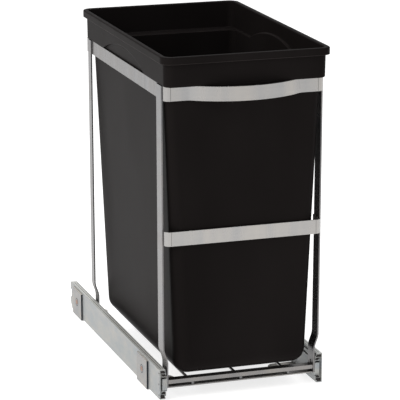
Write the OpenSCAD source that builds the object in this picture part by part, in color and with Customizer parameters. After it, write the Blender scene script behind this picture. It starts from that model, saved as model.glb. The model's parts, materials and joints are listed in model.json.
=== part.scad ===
// Pull-out waste bin for a base cabinet: a tapered plastic bin hangs in a steel carrier frame that
// runs on two full-extension ball-bearing slides screwed to the cabinet floor.
// X is the width, -Y the way the frame pulls out, +Z up. The origin is the centre of the four
// floor-screw holes, on the cabinet floor. Millimetres throughout.

/* [Slides] */
// Width over the outer faces of the two slides
slides_w = 239.5; // [220:0.5:300]
// Length of a slide
rail_len = 457; // [400:1:560]
// Height of a slide's outer rail
rail_h = 42.5; // [40:0.5:50]
// Thickness of a slide, over all three rails
slide_t = 11; // [10.8:0.1:13]
// Thickness of the slide's sheet steel
sheet_t = 1.2; // [0.9:0.1:1.2]
// Travel of the carrier frame out of the cabinet
travel = 420; // [200:5:430]
// Radius of the balls between the outer and middle rails
outer_ball_r = 1.95; // [1.8:0.05:1.95]
// Radius of the balls between the middle and inner rails
inner_ball_r = 1.55; // [1.4:0.05:1.55]
// Balls along each cage strip
ball_count = 10; // [6:1:14]

/* [Floor brackets] */
// Thickness of the bracket steel
bracket_t = 2.5; // [2:0.1:3.5]
// Length of a bracket along the slide
bracket_len = 47; // [36:1:60]
// Distance between the left and right screw holes
screw_spacing_x = 168; // [150:1:180]
// Diameter of a floor-screw hole
screw_hole_d = 5.2; // [4:0.1:6.5]
// Distance from the slide's front end to the front bracket's screw hole
screw_setback = 85.5; // [80:0.5:100]
// Distance from the slide's rear end to the rear bracket's screw hole
rear_setback = 34.5; // [30:0.5:100]

/* [Carrier frame] */
// Height of the carrier band's top edge above the cabinet floor
band_top_z = 443.5; // [350:0.5:560]
// Width over the carrier band
band_w = 228; // [206:0.5:270]
// Depth of the carrier band, from its flat front to its rear face
band_d = 382; // [340:1:420]
// Height of the carrier and middle bands
band_h = 20; // [14:1:26]
// Thickness of the band strip
band_t = 1.5; // [1:0.1:2.5]
// Outer corner radius of the bands
band_r = 8; // [5:0.5:14]
// Height of the middle band's top edge above the cabinet floor
mid_top_z = 242.5; // [160:0.5:320]
// Length of the bowed grip in the handle
grip_w = 160; // [120:1:176]
// How far the grip bows forward
grip_bow = 26; // [16:0.5:34]
// Thickness of a post
post_t = 2; // [1.5:0.1:4]
// Width of a front post
front_post_w = 21; // [12:0.5:24]
// Width of a rear post
rear_post_w = 14; // [10:0.5:20]
// Distance from the band's flat front to the front posts
front_post_y = 10; // [9.5:0.5:16]
// Distance from the band's rear face to the rear posts
rear_post_y = 18; // [16:0.5:60]
// How far the frame narrows on each side from the carrier band to the joggle
post_lean = 1.6; // [0:0.1:4]
// Diameter of a base wire
wire_d = 4; // [3:0.5:5]
// Distance between neighbouring base wires
wire_pitch = 70.5; // [40:0.5:90]
// Height of the upper crossbar
crossbar_h = 5.8; // [4:0.1:8]
// Depth of the crossbars
crossbar_d = 12; // [8:0.5:12]

/* [Bin] */
// Height of the bin's rim above the carrier band
rim_rise = 42; // [34:0.5:60]
// Wall thickness
wall = 2.5; // [1.8:0.1:3.5]
// How far the rim turns out past the collar
rim_flange = 4.8; // [4:0.1:8]
// Height of the rim's skirt
rim_h = 10; // [6:0.5:14]
// Radius of the bin's bottom edges
bottom_r = 20; // [12:0.5:28]
// Gap on each side between the bin's bottom and the posts' feet
side_room = 10.85; // [2:0.05:20]
// Gap between the bin's bottom and the base wires
under_gap = 11.3; // [2:0.1:16]
// Length of an arched hand-hold in the collar
arch_w = 202; // [120:1:240]
// Height of an arched hand-hold
arch_rise = 20; // [10:0.5:22]

/* [Hidden] */
$fn = 64;
LEFT = -1;
RIGHT = 1;

// Places along Y. The flat front of the bands stands just ahead of the slides.
screw_spacing_y = rail_len - screw_setback - rear_setback;
rail_y = -screw_spacing_y / 2 - screw_setback;
band_lead = 9;
band_y = rail_y - band_lead;
front_y0 = band_y + front_post_y;
rear_y0 = band_y + band_d - rear_post_y - rear_post_w;
bracket_ys = [-screw_spacing_y / 2, screw_spacing_y / 2];

// Slide section, drawn as depth u in from the outer face and height v from the slide's middle
rail_z = bracket_t + rail_h / 2;
outer_v = rail_h / 2 - sheet_t;
ball_gap = 0.25;
web_gap = 0.5;
lip = 1;
middle_v = outer_v - 2 * outer_ball_r - 2 * ball_gap;
middle_in_v = middle_v - lip;
inner_v = middle_in_v - 2 * inner_ball_r - 2 * ball_gap;
middle_u = sheet_t + web_gap;
lip_gap = 0.4;
inner_gap = 0.7;
outer_lip_v = 1.8;
middle_lip_v = 2.2;
inner_lip_v = 1.6;
outer_ball_shift = 0.3;
inner_ball_shift = -0.4;
middle_lip_u = slide_t - sheet_t - lip;
outer_lip_u = middle_lip_u - lip_gap - lip;
inner_lip_u = middle_u + lip + inner_gap;
outer_ball_u = (sheet_t + outer_lip_u) / 2 + outer_ball_shift;
outer_ball_v = outer_v - ball_gap - outer_ball_r;
inner_ball_u = (inner_lip_u + lip + middle_lip_u) / 2 + inner_ball_shift;
inner_ball_v = middle_in_v - ball_gap - inner_ball_r;
// The middle and inner rails stop short of the front tab and of the rear stop
tab_gap = 0.4;
tab_v = [2.35 - inner_v, inner_v - 3.25];
tab_u = 4;
front_in = sheet_t + tab_gap;
rear_in = 10;
guide_len = 5;
guide_in = 0.5;
guide_gap = 0.3;
stop_len = 6;
stop_gap = 2;
stop_below = 8;
stop_above = 4;
// The cages are short enough to stay inside both rails at full travel
cage_clear = 3;
cage_y = travel / 4 + guide_len + cage_clear;
cage_len = rail_len - rear_in - travel / 2 - 2 * guide_len - cage_clear - lip;
cage_t = 0.9;
cage_gap = 0.4;
inner_cage_rise = 0.8;
hole_gap = 0.1;

// Rear end of the outer rail: a notch at mid height and a clipped lower corner
notch = [8, 13];
notch_z = -4;
rear_clip = 9;
rear_round = 5;

// Floor brackets and rivets. The leg's middle stands ahead of the screw hole.
leg_lead = 9.5;
leg_top_gap = 3;
tongue_w = 26;
bend_r = 1;
rivet_r = 4;
rivet_h = 1.4;
shank_r = 2.5;
rivet_gap = 0.05;
post_rivet_r = 2.6;
post_rivet_h = 1;
post_shank_r = 1.6;

// Heights in the frame
post_foot_z = rail_z - 6.25;
lower_bar_drop = 0.5;
lower_bar_h = 1.7;
bar_setback = 1.5;
joggle_z = [6.5, 29.5] + (bracket_t + rail_h) * [1, 1];
joggle_steps = 10;
lower_bar_z = post_foot_z - lower_bar_drop;
wire_z = lower_bar_z + lower_bar_h + wire_d / 2;
upper_bar_z = wire_z + wire_d / 2;
post_rivet_rise = 0.8;
post_rivet_z = upper_bar_z + crossbar_h + post_rivet_r + post_rivet_rise;
wire_inset = 1;
wire_bend_r = 14;
wire_top_gap = 3;
wire_steps = 8;
wire_sides = 24;

// Half-widths to the posts' inner faces, from the top down
post_top_x = band_w / 2;
post_mid_x = post_top_x - post_lean * (band_top_z - band_h - mid_top_z) / (band_top_z - joggle_z[1]);
post_low_x = post_top_x - post_lean;
post_foot_x = slides_w / 2 - slide_t - post_t;
mid_return = front_post_y + front_post_w;

// Bin, hung by its collar on the carrier band
hang_gap = 0.2;
ledge_z = band_top_z + hang_gap;
rim_z = ledge_z + rim_rise;
bin_z = wire_z + wire_d / 2 + under_gap;
body_gap = 1;
body_top_hw = band_w / 2 - band_t - body_gap;
side_taper = body_top_hw - post_foot_x + side_room;
body_front = band_y + band_t + body_gap;
rear_room = 24.5;
body_rear = band_y + band_d - rear_room;
front_taper = 1.5;
rear_taper = 6;
corner_r_top = 12;
corner_r_bottom = 20;
collar_out = 3.8;
collar_flare = 0.6;
collar_front = 8;
collar_rear = 18;
ledge_r = 1;
half_turn = 0.3;
BODY = 0;
COLLAR = 1;
RIM = 2;
arch_from_front = 186.5;
arch_y = body_front + arch_from_front;
arch_r = (pow(arch_w / 2, 2) + pow(arch_rise, 2)) / (2 * arch_rise);
arc_step = 3;
grip_blend = 9;
rim_edge = 1.8;
rim_corner_extra = 3;
edge_steps = 4;
corner_steps = 8;
arch_steps = 16;
bottom_steps = 7;
eps = 0.01;

// Extrudes a slide section along Y. 2-D x is the depth u and 2-D y the height v.
module along_rail(side, y0, len) {
    mirror([side == RIGHT ? 1 : 0, 0, 0])
        translate([-slides_w / 2, rail_y + y0 + len, rail_z])
            rotate([90, 0, 0]) linear_extrude(len) children();
}

// Draws the upper half of a section and its mirror image below
module both_halves() {
    children();
    mirror([0, 1]) children();
}

module box2(u0, u1, v0, v1) {
    translate([u0, v0]) square([u1 - u0, v1 - v0]);
}

module outer_section() {
    both_halves() {
        box2(0, sheet_t, 0, rail_h / 2);
        box2(0, outer_lip_u + lip, outer_v, rail_h / 2);
        box2(outer_lip_u, outer_lip_u + lip, outer_v - outer_lip_v, rail_h / 2);
    }
}

module middle_section() {
    both_halves() {
        box2(middle_u, middle_u + lip, 0, middle_v);
        box2(middle_u, middle_lip_u + lip, middle_in_v, middle_v);
        box2(middle_lip_u, middle_lip_u + lip, middle_in_v - middle_lip_v, middle_v + outer_lip_v);
    }
}

module inner_section() {
    both_halves() {
        box2(slide_t - sheet_t, slide_t, 0, inner_v);
        box2(inner_lip_u, slide_t, inner_v - sheet_t, inner_v);
        box2(inner_lip_u, inner_lip_u + lip, inner_v - sheet_t, inner_v + inner_lip_v);
    }
}

// Puts children at each bracket's rivet, with +Z out of the slide's outer face
module at_bracket_rivets(side) {
    for (y = bracket_ys)
        translate([side * slides_w / 2, y - leg_lead, rail_z])
            rotate([0, side * 90, 0]) children();
}

// Puts children at each post's rivet, with +Z from the post towards the slide
module at_post_rivets(side) {
    for (y = [front_y0 + front_post_w / 2, rear_y0 + rear_post_w / 2])
        translate([side * post_foot_x, y, post_rivet_z]) rotate([0, side * 90, 0]) children();
}

module rivet(r, h, shank, len) {
    intersection() {
        translate([0, 0, -h]) cylinder(r = r, h = h);
        translate([0, 0, (r * r - h * h) / (2 * h)]) sphere(r = (r * r + h * h) / (2 * h));
    }
    cylinder(r = shank, h = len);
}

module outer_rail(side) {
    color("gainsboro") difference() {
        along_rail(side, 0, rail_len) outer_section();
        translate([0, rail_y + rail_len, rail_z]) rotate([90, 0, 90])
            linear_extrude(slides_w + 2, center = true) rear_end_cut();
        at_bracket_rivets(side)
            cylinder(r = shank_r + rivet_gap, h = 4 * sheet_t, center = true);
    }
}

// What is cut from the rear end of the outer rail. 2-D x is Y from the rear end.
module rear_end_cut() {
    translate([-notch[0], notch_z]) square(notch + [eps, 0]);
    translate([eps, -rail_h / 2 - eps]) polygon([[0, 0], [-rear_clip, 0], [0, rear_clip]]);
    difference() {
        translate([-rear_round, rail_h / 2 - rear_round]) square(rear_round + eps);
        translate([-rear_round, rail_h / 2 - rear_round]) circle(rear_round);
    }
}

// An upright leg riveted to the slide, bent under it into a tongue with the floor-screw hole
module bracket(side, y) {
    tip_x = screw_spacing_x / 2;
    color("silver") mirror([side == RIGHT ? 1 : 0, 0, 0]) translate([0, y, 0]) difference() {
        union() {
            translate([-slides_w / 2 - bracket_t, -leg_lead - bracket_len / 2, bend_r])
                cube([bracket_t, bracket_len, rail_h + bracket_t - leg_top_gap - bend_r]);
            translate([-slides_w / 2 - bracket_t + bend_r, -leg_lead - bracket_len / 2, 0])
                cube([bracket_t + sheet_t, bracket_len, bracket_t]);
            translate([-slides_w / 2 - bracket_t + bend_r, bracket_len / 2 - leg_lead, bend_r])
                rotate([90, 0, 0]) cylinder(r = bend_r, h = bracket_len);
            translate([-slides_w / 2, -tongue_w / 2, 0])
                cube([slides_w / 2 - tip_x, tongue_w, bracket_t]);
            translate([-tip_x, 0, 0]) cylinder(r = tongue_w / 2, h = bracket_t);
        }
        translate([-tip_x, 0, 0]) cylinder(d = screw_hole_d, h = 3 * bracket_t, center = true);
        translate([-slides_w / 2, -leg_lead, rail_z]) rotate([0, 90, 0])
            cylinder(r = shank_r + rivet_gap, h = 3 * bracket_t, center = true);
    }
}

module bracket_rivets(side) {
    color("rosybrown") at_bracket_rivets(side) translate([0, 0, bracket_t]) rotate([180, 0, 0])
        rivet(rivet_r, rivet_h, shank_r, bracket_t + sheet_t);
}

// Plastic guides that fill the raceways at the front end of the outer rail
module outer_guides(side) {
    color("black") along_rail(side, guide_in, guide_len) both_halves()
        box2(sheet_t, outer_lip_u, middle_v + guide_gap, outer_v);
}

module rear_stop(side) {
    color("black") along_rail(side, rail_len - rear_in + stop_gap, stop_len)
        box2(sheet_t, slide_t - stop_gap, notch_z - stop_below, notch_z + notch[1] + stop_above);
}

// A pair of plastic strips with a pocket for each ball
module cage(side, u0, u1, v, ball_u, ball_r) {
    difference() {
        along_rail(side, cage_y, cage_len) both_halves()
            box2(u0, u1, v - cage_t / 2, v + cage_t / 2);
        at_balls(side, ball_u, 0) cylinder(r = ball_r + hole_gap, h = rail_h, center = true);
    }
}

module at_balls(side, u, v) {
    pitch = cage_len / ball_count;
    for (i = [0 : ball_count - 1])
        translate([side * (slides_w / 2 - u), rail_y + cage_y + pitch * (i + 0.5), rail_z + v])
            children();
}

module balls(side, u, v, r) {
    color("lightgray") for (level = [-v, v]) at_balls(side, u, level) sphere(r = r);
}

module outer_cage(side) {
    color("dimgray") cage(side, sheet_t + cage_gap, outer_lip_u - cage_gap,
                          outer_ball_v, outer_ball_u, outer_ball_r);
}

module inner_cage(side) {
    color("dimgray") cage(side, middle_u + lip + cage_gap, middle_lip_u - cage_gap,
                          inner_ball_v + inner_cage_rise, inner_ball_u, inner_ball_r);
}

module middle_rail(side) {
    color("gainsboro") along_rail(side, front_in, rail_len - front_in - rear_in) middle_section();
}

// Plastic guides between the middle and inner rails, at their front end
module middle_guides(side) {
    color("black") along_rail(side, front_in, guide_len) both_halves()
        box2(inner_lip_u + lip + cage_gap, middle_lip_u, inner_v + guide_gap, middle_in_v);
}

module inner_rail(side) {
    color("gainsboro") difference() {
        union() {
            along_rail(side, front_in, rail_len - front_in - rear_in) inner_section();
            along_rail(side, 0, front_in + eps) box2(slide_t - sheet_t, slide_t, tab_v[0], tab_v[1]);
            along_rail(side, 0, sheet_t) box2(tab_u, slide_t, tab_v[0], tab_v[1]);
        }
        at_post_rivets(side)
            cylinder(r = post_shank_r + rivet_gap, h = post_t + 2 * sheet_t);
    }
}

function smooth(t) = t * t * (3 - 2 * t);
function mix(a, b, t) = a + (b - a) * t;

// Half-width to a post's inner face at its corner heights, bottom to top
function post_line() = concat(
    [[post_foot_x, post_foot_z]],
    [for (i = [0 : joggle_steps]) let (t = i / joggle_steps)
        [mix(post_foot_x, post_low_x, smooth(t)), mix(joggle_z[0], joggle_z[1], t)]],
    [[post_mid_x, mid_top_z - band_h], [post_mid_x, mid_top_z],
     [post_top_x, band_top_z - band_h], [post_top_x, band_top_z]]);

module post(side, y0, w) {
    line = post_line();
    last = len(line) - 1;
    color("silver") difference() {
        mirror([side == LEFT ? 1 : 0, 0, 0]) translate([0, y0 + w, 0]) rotate([90, 0, 0])
            linear_extrude(w) polygon(concat(
                line, [for (i = [0 : last]) line[last - i] + [post_t, 0]]));
        at_post_rivets(side)
            cylinder(r = post_shank_r + rivet_gap, h = 3 * post_t, center = true);
    }
}

module post_rivets(side) {
    color("silver") at_post_rivets(side)
        rivet(post_rivet_r, post_rivet_h, post_shank_r, post_t + sheet_t);
}

// Points along an arc, from angle a0 to a1
function arc(centre, r, a0, a1) = let (steps = max(2, ceil(abs(a1 - a0) / arc_step)))
    [for (i = [0 : steps]) let (a = a0 + (a1 - a0) * i / steps) centre + r * [cos(a), sin(a)]];

// Right half of a band's front edge, drawn inset from its outer face, out to the end of its return
function front_edge(hw, inset) = concat(
    arc([hw - band_r, band_r], band_r - inset, -90, 0), [[hw - inset, mid_return]]);

function reversed(points) = [for (i = [len(points) - 1 : -1 : 0]) points[i]];
// A right half's points, and before them the same points mirrored to the left
function both_sides(points) = concat(
    [for (p = reversed(points)) if (p[0] > eps) [-p[0], p[1]]], points);

// A strip of band between its outer and inner edges
module strip(outer, inner) {
    linear_extrude(band_h) polygon(concat(outer, reversed(inner)));
}

// The grip is an arc with a small blend where it leaves each flat end
function grip_edge(inset) = let (
        bow_r = (pow(grip_w / 2, 2) + pow(grip_bow, 2)) / (2 * grip_bow),
        bow_y = bow_r - grip_bow,
        blend_x = sqrt(pow(bow_r + grip_blend, 2) - pow(bow_y + grip_blend, 2)),
        turn = asin(blend_x / (bow_r + grip_blend)))
    concat(arc([0, bow_y], bow_r - inset, -90, turn - 90),
           arc([blend_x, -grip_blend], grip_blend + inset, 90 + turn, 90));

module pull_handle() {
    outer = concat(grip_edge(0), front_edge(band_w / 2, 0));
    inner = concat(grip_edge(band_t), front_edge(band_w / 2, band_t));
    color("gainsboro") translate([0, band_y, band_top_z - band_h])
        strip(both_sides(outer), both_sides(inner));
}

module band_side(side) {
    color("silver") translate([side * (band_w / 2 - band_t / 2), band_y, band_top_z - band_h])
        translate([-band_t / 2, mid_return, 0])
            cube([band_t, band_d - band_r - mid_return, band_h]);
}

module band_rear() {
    corner = [band_w / 2 - band_r, band_d - band_r];
    color("silver") translate([0, band_y, band_top_z - band_h])
        strip(both_sides(arc(corner, band_r, 90, 0)), both_sides(arc(corner, band_r - band_t, 90, 0)));
}

module mid_band() {
    color("gainsboro") translate([0, band_y, mid_top_z - band_h])
        strip(both_sides(front_edge(post_mid_x, 0)), both_sides(front_edge(post_mid_x, band_t)));
}

// A bar between the two front posts
module crossbar(z0, h) {
    color("silver") translate([-post_foot_x, front_y0 + bar_setback, z0])
        cube([2 * post_foot_x, crossbar_d, h]);
}

// A base wire runs back under the bin from the crossbars and turns up to the rear of the carrier band
module base_wire(i) {
    y1 = band_y + band_d - band_t - wire_d / 2;
    path = concat(
        [[front_y0 + bar_setback + wire_inset, wire_z, 0]],
        [for (k = [0 : wire_steps]) let (a = 90 * k / wire_steps)
            [y1 - wire_bend_r * (1 - sin(a)), wire_z + wire_bend_r * (1 - cos(a)), a]],
        [[y1, band_top_z - wire_top_gap, 90]]);
    last = len(path) - 1;
    n = wire_sides;
    color("gray") translate([i * wire_pitch, 0, 0]) polyhedron(
        points = [for (p = path, k = [0 : n - 1]) let (a = 360 * k / n, r = wire_d / 2)
            [r * cos(a), p[0] - r * sin(a) * sin(p[2]), p[1] + r * sin(a) * cos(p[2])]],
        faces = concat(
            [[for (k = [0 : n - 1]) k], [for (k = [n - 1 : -1 : 0]) last * n + k]],
            [for (j = [0 : last - 1], k = [0 : n - 1]) let (a = j * n + k, b = j * n + (k + 1) % n)
                [a, a + n, b + n, b]]));
}

// Outer faces of the bin's body, collar and rim at height z, as half-width, front and rear
function body_at(z) = let (t = (ledge_z - z) / (ledge_z - bin_z))
    [body_top_hw - side_taper * t, body_front + front_taper * t, body_rear - rear_taper * t];
function collar_at(z) = let (out = collar_out + collar_flare * (z - ledge_z) / rim_rise)
    [body_top_hw + out, body_front - collar_front - out, body_rear + collar_rear + out];
function rim_at(z) = collar_at(rim_z) + [rim_flange, -rim_flange, rim_flange];
function wall_at(surface, z) =
    surface == BODY ? body_at(z) : surface == COLLAR ? collar_at(z) : rim_at(z);

// How far the hand-hold lifts the collar's ledge at y
function arch_lift(y) = let (off = y - arch_y)
    abs(off) >= arch_w / 2 ? 0 : sqrt(pow(arch_r, 2) - pow(off, 2)) - arch_r + arch_rise;

// Radius of the upright corners at height z
function corner_r(z) = mix(corner_r_bottom, corner_r_top, min(1, (z - bin_z) / (ledge_z - bin_z)));

// A ring round the bin is [surface, inset from it, height, 1 where it follows the hand-holds]
function corner_points(ring, c) = let (
        w = wall_at(ring[0], ring[2]) + ring[1] * [-1, 1, -1],
        r = max(corner_r(ring[2]) + (ring[0] == RIM ? rim_corner_extra : 0) - ring[1], 1),
        x = (c < 2 ? 1 : -1) * (w[0] - r), y = c == 0 || c == 3 ? w[1] + r : w[2] - r)
    [for (i = [0 : corner_steps]) let (a = 90 * (c - 1 + i / corner_steps))
        [x + r * cos(a), y + r * sin(a), ring[2]]];
function side_points(ring, side) =
    [for (i = [0 : arch_steps]) let (
            y = arch_y - side * arch_w / 2 * cos(180 * i / arch_steps),
            z = ring[2] + ring[3] * arch_lift(y))
        [side * (wall_at(ring[0], z)[0] - ring[1]), y, z]];
function ring_points(ring) = concat(
    corner_points(ring, 0), side_points(ring, RIGHT), corner_points(ring, 1),
    corner_points(ring, 2), side_points(ring, LEFT), corner_points(ring, 3));

// The rounded bottom edge from the flat underside up to the wall, inset by the wall inside
function bottom_rings(inset) = [for (i = [0 : bottom_steps]) let (a = 90 * i / bottom_steps)
    [BODY, inset + (bottom_r - inset) * (1 - sin(a)),
     bin_z + inset + (bottom_r - inset) * (1 - cos(a)), 0]];

// The rings run up the outside, over the rim and down the inside to the floor of the bin
module bin_shell() {
    inside = bottom_rings(wall);
    shelf_z = ledge_z + wall;
    rings = concat(
        bottom_rings(0),
        [[BODY, 0, ledge_z - ledge_r, 1], [BODY, -half_turn, ledge_z - half_turn, 1],
         [BODY, -ledge_r, ledge_z, 1], [COLLAR, ledge_r, ledge_z, 1],
         [COLLAR, half_turn, ledge_z + half_turn, 1], [COLLAR, 0, ledge_z + ledge_r, 1],
         [COLLAR, 0, rim_z - wall, 0],
         [RIM, wall, rim_z - wall, 0], [RIM, wall, rim_z - rim_h, 0], [RIM, 0, rim_z - rim_h, 0]],
        [for (i = [0 : edge_steps]) let (a = 90 * i / edge_steps)
            [RIM, rim_edge * (1 - cos(a)), rim_z - rim_edge * (1 - sin(a)), 0]],
        [for (i = [0 : edge_steps]) let (a = 90 * i / edge_steps)
            [COLLAR, wall - rim_edge * (1 - sin(a)), rim_z - rim_edge * (1 - cos(a)), 0]],
        [[COLLAR, wall, shelf_z + ledge_r, 1],
         [COLLAR, wall + half_turn, shelf_z + half_turn, 1], [COLLAR, wall + ledge_r, shelf_z, 1],
         [BODY, wall - ledge_r, shelf_z, 1], [BODY, wall - half_turn, shelf_z - half_turn, 1],
         [BODY, wall, shelf_z - ledge_r, 1]],
        [for (i = [0 : bottom_steps]) inside[bottom_steps - i]]);
    n = len(ring_points(rings[0]));
    last = len(rings) - 1;
    color([0.12, 0.12, 0.12]) polyhedron(
        points = [for (ring = rings) each ring_points(ring)],
        faces = concat(
            [[for (k = [0 : n - 1]) k], [for (k = [n - 1 : -1 : 0]) last * n + k]],
            [for (i = [0 : last - 1], k = [0 : n - 1], half = [0, 1]) let (
                    a = i * n + k, b = i * n + (k + 1) % n)
                half == 0 ? [a, a + n, b + n] : [a, b + n, b]]));
}

outer_rail(LEFT);  // outer_rail_left
outer_rail(RIGHT);  // outer_rail_right
bracket(LEFT, bracket_ys[0]);  // bracket_front_left
bracket(RIGHT, bracket_ys[0]);  // bracket_front_right
bracket(LEFT, bracket_ys[1]);  // bracket_rear_left
bracket(RIGHT, bracket_ys[1]);  // bracket_rear_right
bracket_rivets(LEFT);  // bracket_rivets_left
bracket_rivets(RIGHT);  // bracket_rivets_right
outer_guides(LEFT);  // outer_guides_left
outer_guides(RIGHT);  // outer_guides_right
rear_stop(LEFT);  // rear_stop_left
rear_stop(RIGHT);  // rear_stop_right
outer_cage(LEFT);  // outer_cage_left
outer_cage(RIGHT);  // outer_cage_right
balls(LEFT, outer_ball_u, outer_ball_v, outer_ball_r);  // outer_balls_left
balls(RIGHT, outer_ball_u, outer_ball_v, outer_ball_r);  // outer_balls_right
middle_rail(LEFT);  // middle_rail_left
middle_rail(RIGHT);  // middle_rail_right
middle_guides(LEFT);  // middle_guides_left
middle_guides(RIGHT);  // middle_guides_right
inner_cage(LEFT);  // inner_cage_left
inner_cage(RIGHT);  // inner_cage_right
balls(LEFT, inner_ball_u, inner_ball_v, inner_ball_r);  // inner_balls_left
balls(RIGHT, inner_ball_u, inner_ball_v, inner_ball_r);  // inner_balls_right
inner_rail(LEFT);  // inner_rail_left
inner_rail(RIGHT);  // inner_rail_right
post(LEFT, front_y0, front_post_w);  // post_front_left
post(RIGHT, front_y0, front_post_w);  // post_front_right
post(LEFT, rear_y0, rear_post_w);  // post_rear_left
post(RIGHT, rear_y0, rear_post_w);  // post_rear_right
post_rivets(LEFT);  // post_rivets_left
post_rivets(RIGHT);  // post_rivets_right
pull_handle();
band_side(LEFT);  // band_side_left
band_side(RIGHT);  // band_side_right
band_rear();
mid_band();
crossbar(upper_bar_z, crossbar_h);  // crossbar_upper
crossbar(lower_bar_z, lower_bar_h);  // crossbar_lower
base_wire(-1);  // base_wire_left
base_wire(0);  // base_wire_middle
base_wire(1);  // base_wire_right
bin_shell();
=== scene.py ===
"""Looks for the pull-out waste bin: materials, small made-on details, light and camera."""

import json
import math

import bmesh
import bpy
from mathutils import Matrix, Vector


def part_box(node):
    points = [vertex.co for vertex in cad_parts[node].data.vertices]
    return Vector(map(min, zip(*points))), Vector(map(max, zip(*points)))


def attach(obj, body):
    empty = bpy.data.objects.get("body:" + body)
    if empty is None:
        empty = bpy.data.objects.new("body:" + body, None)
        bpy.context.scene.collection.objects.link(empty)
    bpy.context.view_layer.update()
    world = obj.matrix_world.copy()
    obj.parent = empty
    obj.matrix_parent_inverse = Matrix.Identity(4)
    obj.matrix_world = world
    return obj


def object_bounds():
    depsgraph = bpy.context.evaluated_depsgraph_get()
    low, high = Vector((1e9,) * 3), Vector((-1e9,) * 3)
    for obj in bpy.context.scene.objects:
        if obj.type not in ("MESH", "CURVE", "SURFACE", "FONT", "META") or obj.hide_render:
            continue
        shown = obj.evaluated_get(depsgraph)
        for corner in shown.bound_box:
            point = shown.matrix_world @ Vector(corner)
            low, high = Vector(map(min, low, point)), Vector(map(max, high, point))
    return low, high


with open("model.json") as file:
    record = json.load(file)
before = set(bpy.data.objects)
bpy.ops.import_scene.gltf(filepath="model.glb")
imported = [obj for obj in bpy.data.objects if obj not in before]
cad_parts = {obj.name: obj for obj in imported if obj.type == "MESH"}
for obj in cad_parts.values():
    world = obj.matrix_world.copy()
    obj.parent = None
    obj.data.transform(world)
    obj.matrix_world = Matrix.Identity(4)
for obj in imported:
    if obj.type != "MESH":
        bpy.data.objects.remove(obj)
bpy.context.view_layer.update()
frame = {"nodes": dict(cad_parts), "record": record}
nodes = frame["nodes"]


# ---------------------------------------------------------------- materials


class Nodes:
    """Short calls for wiring one material's node tree."""

    def __init__(self, name):
        self.material = bpy.data.materials.new(name)
        self.material.use_nodes = True
        self.tree = self.material.node_tree
        self.shader = self.tree.nodes["Principled BSDF"]
        self.place = self.add("ShaderNodeTexCoord").outputs["Object"]

    def add(self, kind, **settings):
        node = self.tree.nodes.new(kind)
        for key, value in settings.items():
            setattr(node, key, value)
        return node

    def link(self, source, target):
        self.tree.links.new(source, target)

    def set(self, **values):
        for key, value in values.items():
            self.shader.inputs[key.replace("_", " ")].default_value = value

    def stretched(self, scale):
        """Object coordinates scaled along each axis, in features per metre."""
        mapping = self.add("ShaderNodeMapping")
        mapping.inputs["Scale"].default_value = scale
        self.link(self.place, mapping.inputs["Vector"])
        return mapping.outputs["Vector"]

    def noise(self, scale, detail=3.0, roughness=0.55):
        node = self.add("ShaderNodeTexNoise")
        node.inputs["Scale"].default_value = 1.0
        node.inputs["Detail"].default_value = detail
        node.inputs["Roughness"].default_value = roughness
        self.link(self.stretched(scale), node.inputs["Vector"])
        return node.outputs["Fac"]

    def ramp(self, value, low, high, start=0.3, end=0.7):
        """Maps a value between start and end to low..high: two numbers or two colours."""
        node = self.add("ShaderNodeMapRange")
        node.inputs["From Min"].default_value = start
        node.inputs["From Max"].default_value = end
        if isinstance(low, (int, float)):
            node.inputs["To Min"].default_value = low
            node.inputs["To Max"].default_value = high
            self.link(value, node.inputs["Value"])
            return node.outputs["Result"]
        self.link(value, node.inputs["Value"])
        return self.mix(node.outputs["Result"], low, high)

    def mix(self, factor, a, b):
        """Mixes two colours, each a value or a socket."""
        node = self.add("ShaderNodeMix", data_type="RGBA")
        self.link(factor, node.inputs["Factor"])
        for socket, colour in ((node.inputs[6], a), (node.inputs[7], b)):
            if isinstance(colour, tuple):
                socket.default_value = (*colour, 1.0)
            else:
                self.link(colour, socket)
        return node.outputs[2]

    def bump(self, heights, edge=0.0):
        """Chains bumps, each a (height socket, depth in metres) pair, over edges softened by edge."""
        normal = None
        if edge:
            soft = self.add("ShaderNodeBevel", samples=4)
            soft.inputs["Radius"].default_value = edge
            normal = soft.outputs["Normal"]
        for height, depth in heights:
            node = self.add("ShaderNodeBump")
            node.inputs["Strength"].default_value = 1.0
            node.inputs["Distance"].default_value = depth
            self.link(height, node.inputs["Height"])
            if normal is not None:
                self.link(normal, node.inputs["Normal"])
            normal = node.outputs["Normal"]
        self.link(normal, self.shader.inputs["Normal"])

    def edges(self, radius):
        """1 along outer and inner edges, 0 on open faces."""
        soft = self.add("ShaderNodeBevel", samples=8)
        soft.inputs["Radius"].default_value = radius
        flat = self.add("ShaderNodeNewGeometry").outputs["True Normal"]
        dot = self.add("ShaderNodeVectorMath", operation="DOT_PRODUCT")
        self.link(soft.outputs["Normal"], dot.inputs[0])
        self.link(flat, dot.inputs[1])
        return self.ramp(dot.outputs["Value"], 1.0, 0.0, start=0.80, end=0.97)

    def colour(self, socket):
        self.link(socket, self.shader.inputs["Base Color"])

    def roughness(self, socket):
        self.link(socket, self.shader.inputs["Roughness"])


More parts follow.
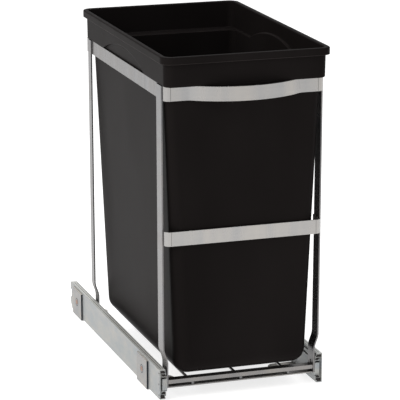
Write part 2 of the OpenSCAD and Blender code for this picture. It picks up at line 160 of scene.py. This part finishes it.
def brushed_steel(name, along, tint, rough=(0.20, 0.34)):
    """Steel with fine brush lines along one axis, 0, 1 or 2, and long faint waves in its tone.

    Strips that lie along X also bow a little in Y, so their lines run on in Y too.
    """
    m = Nodes(name)
    lines = [1500.0, 1500.0, 1500.0]
    lines[along] = 4.0
    broad = [240.0, 240.0, 240.0]
    broad[along] = 5.0
    if along == 0:
        lines[1], broad[1] = 9.0, 5.0
    waves = [4.0, 4.0, 4.0]
    waves[along] = 30.0
    fine = m.noise(lines, detail=2.0)
    wide = m.noise(broad, detail=2.0)
    wave = m.noise(waves, detail=2.0)
    dull = tuple(c * w for c, w in zip(tint, (0.76, 0.79, 0.83)))
    bright = tuple(c * w for c, w in zip(tint, (1.16, 1.13, 1.08)))
    base = m.ramp(wave, dull, bright)
    streaks = m.mix(m.ramp(fine, 0.0, 0.22), base, dull)
    m.colour(m.mix(m.ramp(wide, 0.0, 0.35), streaks, tint))
    m.roughness(m.ramp(wave, *rough))
    m.bump([(fine, 0.000005), (wide, 0.00001), (wave, 0.0008)], edge=0.0006)
    m.set(Metallic=1.0)
    return m.material


def zinc(name, tint, spangle=(0.30, 0.34, 0.39), edge=0.001):
    """Zinc-plated steel: cloudy grey with faint blue and yellow passivation, and painted light that
    pales its upward faces.
    """
    m = Nodes(name)
    cloud = m.noise((55.0, 30.0, 70.0), detail=5.0, roughness=0.65)
    fine = m.noise((900.0, 60.0, 900.0), detail=2.0)
    streak = m.noise((300.0, 6.0, 300.0), detail=3.0)
    warm = tuple(t * w for t, w in zip(tint, (1.10, 1.03, 0.95)))
    cool = tuple(t * w for t, w in zip(tint, (0.86, 0.95, 1.06)))
    # Painted light: faces that look up are mixed towards this paler tint, standing in for the light from
    # above.
    painted_top_light = tuple(min(0.9, t * 2.1) for t in tint)
    base = m.mix(m.ramp(streak, 0.0, 0.5), m.ramp(cloud, warm, cool), tint)
    # The mask of faces that look up, where the painted light goes.
    facing = m.add("ShaderNodeSeparateXYZ")
    m.link(m.add("ShaderNodeNewGeometry").outputs["True Normal"], facing.inputs["Vector"])
    upward = m.ramp(facing.outputs["Z"], 0.0, 1.0, start=0.8, end=0.95)
    m.colour(m.mix(upward, m.mix(m.ramp(fine, 0.0, 0.3), base, spangle), painted_top_light))
    m.roughness(m.ramp(cloud, 0.40, 0.54))
    m.bump([(fine, 0.00001), (m.noise((260.0, 260.0, 260.0)), 0.00002)], edge=edge)
    m.set(Metallic=0.45)
    return m.material


def moulded_plastic(name, tint, grain, rough, depth, specular, edge_highlight_gain=0.0):
    """Moulded plastic with a fine spark-eroded grain, faint flow shading, and a painted highlight that
    lightens its edges.
    """
    m = Nodes(name)
    flow = m.noise((7.0, 7.0, 3.0), detail=2.0)
    pits = m.add("ShaderNodeTexVoronoi")
    pits.inputs["Scale"].default_value = 1.0
    m.link(m.stretched((grain, grain, grain)), pits.inputs["Vector"])
    light = tuple(c * 1.35 + 0.0006 for c in tint)
    # Painted highlight: a lighter copy of the flow tint, laid along the edges to stand in for light
    # caught on rounded edges.
    painted_edge_highlight = m.ramp(flow, *(tuple(c * (1.0 + edge_highlight_gain) for c in shade) for shade in (tint, light)))
    m.colour(m.mix(m.edges(0.0016), m.ramp(flow, tint, light), painted_edge_highlight))
    m.roughness(m.ramp(m.noise((24.0, 24.0, 9.0), detail=1.0), *rough, start=0.0, end=1.0))
    m.bump([(pits.outputs["Distance"], depth), (m.noise((grain * 0.6,) * 3), depth * 0.7)],
           edge=0.0012)
    m.set(Specular_IOR_Level=specular, Specular_Tint=(1.0, 0.86, 0.82, 1.0))
    return m.material


def polished(name, tint):
    """Polished ball steel with a hint of grease haze."""
    m = Nodes(name)
    m.colour(m.ramp(m.noise((400.0,) * 3), tuple(c * 0.92 for c in tint), tint))
    m.roughness(m.ramp(m.noise((250.0,) * 3), 0.08, 0.2))
    m.set(Metallic=1.0)
    return m.material


STEEL = (0.40, 0.388, 0.376)
FRAME_STEEL = (0.195, 0.189, 0.189)
CROSSBAR_STEEL = (0.26, 0.250, 0.243)

materials = {
    "zinc_rail": zinc("zinc_rail", (0.37, 0.375, 0.36)),
    "zinc_bracket": zinc("zinc_bracket", (0.34, 0.325, 0.305)),
    "copper_rivet": zinc("copper_rivet", (0.40, 0.26, 0.20), spangle=(0.30, 0.19, 0.15),
                         edge=0.0004),
    "black_guide": moulded_plastic("black_guide", (0.010, 0.010, 0.010), 2500.0,
                                   (0.4, 0.55), 0.00001, 0.3),
    "cage_plastic": moulded_plastic("cage_plastic", (0.02, 0.02, 0.021), 2500.0,
                                    (0.4, 0.6), 0.00001, 0.35),
    "bearing_steel": polished("bearing_steel", (0.72, 0.72, 0.73)),
    "brushed_band": brushed_steel("brushed_band", 0, STEEL),
    "bright_frame": brushed_steel("bright_frame", 2, FRAME_STEEL),
    # The bin gets a painted highlight along its edges.
    "bin_plastic": moulded_plastic("bin_plastic", (0.0094, 0.0080, 0.0078), 1400.0,
                                   (0.30, 0.36), 0.00002, 0.010, edge_highlight_gain=4.0),
}
along_y = brushed_steel("bright_frame_along", 1, FRAME_STEEL)
along_x = brushed_steel("bright_frame_across", 0, CROSSBAR_STEEL)

for part in frame["record"]["subparts"]:
    name = part["node"]
    material = materials[part["material_slot"]]
    if name.startswith(("band_side", "base_wire")):
        material = along_y
    elif name.startswith(("band_rear", "crossbar")):
        material = along_x
    mesh = nodes[name].data
    mesh.materials.clear()
    mesh.materials.append(material)


# ------------------------------------------------------------------- details


def plain(name, tint, rough, metallic=0.0):
    """A material with a light speckle, for the small made-on pieces."""
    m = Nodes(name)
    speck = m.noise((700.0,) * 3, detail=3.0)
    m.colour(m.ramp(speck, tuple(c * 0.7 for c in tint), tint))
    m.roughness(m.ramp(speck, rough, rough + 0.12))
    m.bump([(speck, 0.00001)])
    m.set(Metallic=metallic)
    return m.material


weld_steel = plain("weld_steel", (0.34, 0.32, 0.31), 0.3, metallic=1.0)
# Dark steel for the legs' cut front edges and the rivet rings: partly bare steel, partly painted shade.
dark_steel_shade = plain("dark_steel_shade", (0.050, 0.058, 0.068), 0.45, metallic=1.0)
# Painted shade: a near-black for seams, slots and dimples, where the steel lies in shade.
painted_gap_shade = plain("painted_gap_shade", (0.012, 0.012, 0.012), 0.6)


def made(name, mesh_builder, material, body):
    """Turns a bmesh into a piece that rides on a body and takes its finish from a slot."""
    mesh = bpy.data.meshes.new(name)
    mesh_builder.to_mesh(mesh)
    mesh_builder.free()
    mesh.materials.append(material)
    piece = bpy.data.objects.new(name, mesh)
    bpy.context.collection.objects.link(piece)
    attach(piece, body)
    return piece


def add_slab(bm, low, high, round_off):
    """A box between two corners with its edges rounded off."""
    size = Vector(high) - Vector(low)
    shape = bmesh.ops.create_cube(bm, size=1.0)
    for vert in shape["verts"]:
        vert.co = Vector(low) + Vector([size[i] * (vert.co[i] + 0.5) for i in range(3)])
    edges = {edge for vert in shape["verts"] for edge in vert.link_edges}
    bmesh.ops.bevel(bm, geom=list(edges), offset=min(round_off, min(size) * 0.45),
                    segments=2, affect="EDGES")


def add_bead(bm, start, end, radius):
    """A lumpy weld bead between two points: overlapping flattened drops."""
    start, end = Vector(start), Vector(end)
    count = max(2, round((end - start).length / (radius * 0.9)))
    for i in range(count + 1):
        swell = radius * (1.0 + 0.12 * math.sin(2.4 * i))
        matrix = Matrix.Translation(start.lerp(end, i / count)) @ Matrix.Diagonal(
            (swell, swell, swell * 0.8, 1.0))
        bmesh.ops.create_icosphere(bm, subdivisions=2, radius=1.0, matrix=matrix)


def smooth(piece):
    for polygon in piece.data.polygons:
        polygon.use_smooth = True


# Sizes of the details in metres, and how many there are.
SEAM_SETBACK = 0.0085
SEAM_HALF = 0.0003
SEAM_INSET = 0.0004
BEAD_SMALL = 0.0007
BEAD_BAR = 0.0008
BEAD_WIRE = 0.0009
BEAD_INSET = 0.0009
JOINT_INSETS = (0.0034, 0.0068)
JOINT_HALF = 0.0004
DIMPLE_RISES = (0.0055, 0.0212, 0.0370)
DIMPLE_HALF = 0.0008
LEG_THICKNESS = 0.0025
RING_RADIUS = 0.0058
RING_DOTS = 36
RIB_COUNT = 9
RIB_PITCH = 0.039
RIB_START = 0.040
RIB_HALF = 0.0008

band_low, band_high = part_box("pull_handle")
mid_low, mid_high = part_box("mid_band")
flat_y = mid_low.y
side_x = {"left": -1.0, "right": 1.0}

# The front strips end just short of the corners, with a fine seam where the corner piece starts; each
# seam is drawn as a thin dark strip, painted shade in the gap.
seams = bmesh.new()
for strip_low, strip_high in ((band_low, band_high), (mid_low, mid_high)):
    for sign in side_x.values():
        x = sign * (strip_high.x - SEAM_SETBACK)
        add_slab(seams, (x - SEAM_HALF, flat_y - 0.00006, strip_low.z + SEAM_INSET),
                 (x + SEAM_HALF, flat_y + 0.0004, strip_high.z - SEAM_INSET), 0.0001)
made("band_seam_shade", seams, painted_gap_shade, "carrier_frame")

# Weld beads where the posts meet the bands and the crossbars, and where the wires cross.
beads = bmesh.new()
bar_low, bar_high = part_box("crossbar_upper")
for side, sign in side_x.items():
    post_low, post_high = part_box("post_front_" + side)
    for z in (band_low.z, band_high.z - BEAD_INSET):
        inner = sign * (band_high.x - BEAD_INSET)
        add_bead(beads, (inner, post_low.y + 0.006, z), (inner, post_high.y - 0.004, z), BEAD_SMALL)
    for z in (mid_low.z, mid_high.z):
        inner = sign * (mid_high.x - BEAD_INSET)
        add_bead(beads, (inner, post_low.y + 0.004, z), (inner, post_low.y + 0.016, z), BEAD_SMALL)
    add_bead(beads, (sign * bar_high.x, bar_low.y, bar_low.z + 0.001),
             (sign * bar_high.x, bar_low.y, bar_high.z - 0.001), BEAD_BAR)
    add_bead(beads, (sign * bar_high.x, bar_low.y + 0.001, bar_high.z),
             (sign * bar_high.x, bar_high.y - 0.001, bar_high.z), BEAD_BAR)
for wire in ("left", "middle", "right"):
    wire_low, wire_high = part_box("base_wire_" + wire)
    for x in (wire_low.x, wire_high.x):
        add_bead(beads, (x, bar_high.y, bar_low.z - 0.0012), (x, bar_high.y, bar_low.z), BEAD_WIRE)
        add_bead(beads, (x, wire_high.y - 0.0012, band_low.z + 0.002),
                 (x, wire_high.y - 0.0012, band_high.z - 0.004), BEAD_WIRE)
smooth(made("weld_beads", beads, weld_steel, "carrier_frame"))

# Rails: the two raceway joints along the top and bottom, with small dimples by the front end, all drawn
# as thin dark strips of painted shade.
for side, sign in side_x.items():
    rail_low, rail_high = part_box("outer_rail_" + side)
    outer_x = rail_low.x if sign < 0 else rail_high.x
    lines = bmesh.new()
    for inward in JOINT_INSETS:
        x = outer_x - sign * inward
        for z in (rail_low.z, rail_high.z):
            add_slab(lines, (x - JOINT_HALF, rail_low.y + 0.004, z - 0.0002),
                     (x + JOINT_HALF, rail_high.y - 0.012, z + 0.00006), 0.0001)
    for rise in DIMPLE_RISES:
        z = rail_low.z + rise
        add_slab(lines, (outer_x - 0.0003, rail_low.y + 0.0020, z - DIMPLE_HALF),
                 (outer_x + 0.0003, rail_low.y + 0.0042, z + DIMPLE_HALF), 0.0002)
    made("rail_slot_shade_" + side, lines, painted_gap_shade, "cabinet_rails")

    # Brackets: the raw front edge of each leg, in a dark that is partly the bare cut steel and partly
    # painted shade on that face, and a stamped ring round its rivet in dots of the same dark, painted
    # shade in the stamp.
    edges = bmesh.new()
    for place in ("front", "rear"):
        leg_low, leg_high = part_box("bracket_%s_%s" % (place, side))
        face_x = leg_low.x if sign < 0 else leg_high.x
        a, b = sorted((face_x, face_x - sign * LEG_THICKNESS))
        add_slab(edges, (a + 0.0001, leg_low.y - 0.00015, leg_low.z + 0.001),
                 (b - 0.0001, leg_low.y + 0.0002, leg_high.z - 0.0002), 0.0001)
        rivet_low, rivet_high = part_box("bracket_rivets_" + side)
        middle_y = (leg_low.y + leg_high.y) / 2
        middle_z = (rivet_low.z + rivet_high.z) / 2
        for i in range(RING_DOTS):
            turn = math.tau * i / RING_DOTS
            spot = (face_x, middle_y + RING_RADIUS * math.cos(turn),
                    middle_z + RING_RADIUS * math.sin(turn))
            bmesh.ops.create_icosphere(edges, subdivisions=1, radius=0.0004,
                                       matrix=Matrix.Translation(spot))
    made("bracket_edges_" + side, edges, dark_steel_shade, "cabinet_rails")

# Ribs that stiffen the rim, under its flange.
bin_low, bin_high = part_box("bin_shell")
ribs = bmesh.new()
for side, sign in side_x.items():
    for i in range(RIB_COUNT):
        y = bin_low.y + RIB_START + i * RIB_PITCH
        inner, outer = sorted((sign * (bin_high.x - 0.0056), sign * (bin_high.x - 0.0020)))
        add_slab(ribs, (inner, y - RIB_HALF, bin_high.z - 0.0088),
                 (outer, y + RIB_HALF, bin_high.z - 0.0022), 0.0003)
made("rim_ribs", ribs, materials["bin_plastic"], "bin")

# The mark of the injection gate, a shallow boss under the bottom.
gate = bmesh.new()
centre = Vector((0.0, (bin_low.y + bin_high.y) / 2, bin_low.z))
bmesh.ops.create_cone(gate, cap_ends=True, segments=32, radius1=0.004, radius2=0.006, depth=0.0012,
                      matrix=Matrix.Translation(centre - Vector((0.0, 0.0, 0.0004))))
made("gate_mark", gate, materials["bin_plastic"], "bin")


# ------------------------------------------------------------ stage and camera

low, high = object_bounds()

floor_mesh = bpy.data.meshes.new("floor")
reach = 14.0
floor_mesh.from_pydata(
    [(-reach, -reach, 0.0), (reach, -reach, 0.0), (reach, reach, 0.0), (-reach, reach, 0.0)],
    [], [(0, 1, 2, 3)])
floor = bpy.data.objects.new("floor", floor_mesh)
bpy.context.collection.objects.link(floor)
paper = Nodes("floor_paper")
paper.set(Base_Color=(0.62, 0.62, 0.62, 1.0), Roughness=0.9, Specular_IOR_Level=0.1,
          Emission_Color=(1.0, 1.0, 1.0, 1.0), Emission_Strength=0.78)
floor.data.materials.append(paper.material)

# A soft surround, warm and bright at the left, cooler and dimmer at the right, and lighter behind.
world = bpy.data.worlds.new("studio")
bpy.context.scene.world = world
world.use_nodes = True
tree = world.node_tree
direction = tree.nodes.new("ShaderNodeTexCoord").outputs["Generated"]
split = tree.nodes.new("ShaderNodeSeparateXYZ")
tree.links.new(direction, split.inputs["Vector"])
surround = tree.nodes.new("ShaderNodeValToRGB")
across = tree.nodes.new("ShaderNodeMapRange")
across.inputs["From Min"].default_value = -1.0
across.inputs["From Max"].default_value = 1.0
tree.links.new(split.outputs["X"], across.inputs["Value"])
tree.links.new(across.outputs["Result"], surround.inputs["Fac"])
ends = surround.color_ramp.elements
ends[0].color = (0.86, 0.81, 0.77, 1.0)
ends[1].color = (0.34, 0.37, 0.40, 1.0)
tree.links.new(surround.outputs["Color"], tree.nodes["Background"].inputs["Color"])
behind = tree.nodes.new("ShaderNodeMapRange")
behind.inputs["From Min"].default_value = -0.2
behind.inputs["From Max"].default_value = 0.9
behind.inputs["To Min"].default_value = 0.62
behind.inputs["To Max"].default_value = 0.86
tree.links.new(split.outputs["Y"], behind.inputs["Value"])
tree.links.new(behind.outputs["Result"], tree.nodes["Background"].inputs["Strength"])
bpy.context.scene.view_settings.view_transform = "Standard"


def soft_light(name, place, aim, size, power):
    """A square softbox at place, facing aim."""
    data = bpy.data.lights.new(name, "AREA")
    data.size = size
    data.energy = power
    light = bpy.data.objects.new(name, data)
    light.location = place
    light.rotation_euler = (Vector(aim) - Vector(place)).to_track_quat("-Z", "Y").to_euler()
    bpy.context.collection.objects.link(light)


middle = (Vector(low) + Vector(high)) / 2
soft_light("key_light", middle + Vector((-1.9, -0.9, 1.7)), middle, 1.5, 26.0)
soft_light("top_light", middle + Vector((0.3, 0.4, 2.6)), middle, 1.8, 34.0)

# The camera stands 3.46 m off, to the left of the handle and above it, with a long lens.
AZIMUTH = math.radians(-18.47)
ELEVATION = math.radians(14.39)
DISTANCE = 3.462
band_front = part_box("mid_band")[0].y
aim = Vector((0.0013, band_front + 0.200, 0.2425))
back = Vector((math.sin(AZIMUTH) * math.cos(ELEVATION),
               -math.cos(AZIMUTH) * math.cos(ELEVATION),
               math.sin(ELEVATION)))
camera_data = bpy.data.cameras.new("camera")
camera_data.lens = 216.0
camera_data.sensor_width = 36.0
camera_data.shift_x = 0.00225
camera_data.shift_y = -0.0213
camera_data.clip_end = 50.0
camera = bpy.data.objects.new("camera", camera_data)
camera.location = aim + back * DISTANCE
camera.rotation_euler = (-back).to_track_quat("-Z", "Y").to_euler()
bpy.context.collection.objects.link(camera)
bpy.context.scene.camera = camera
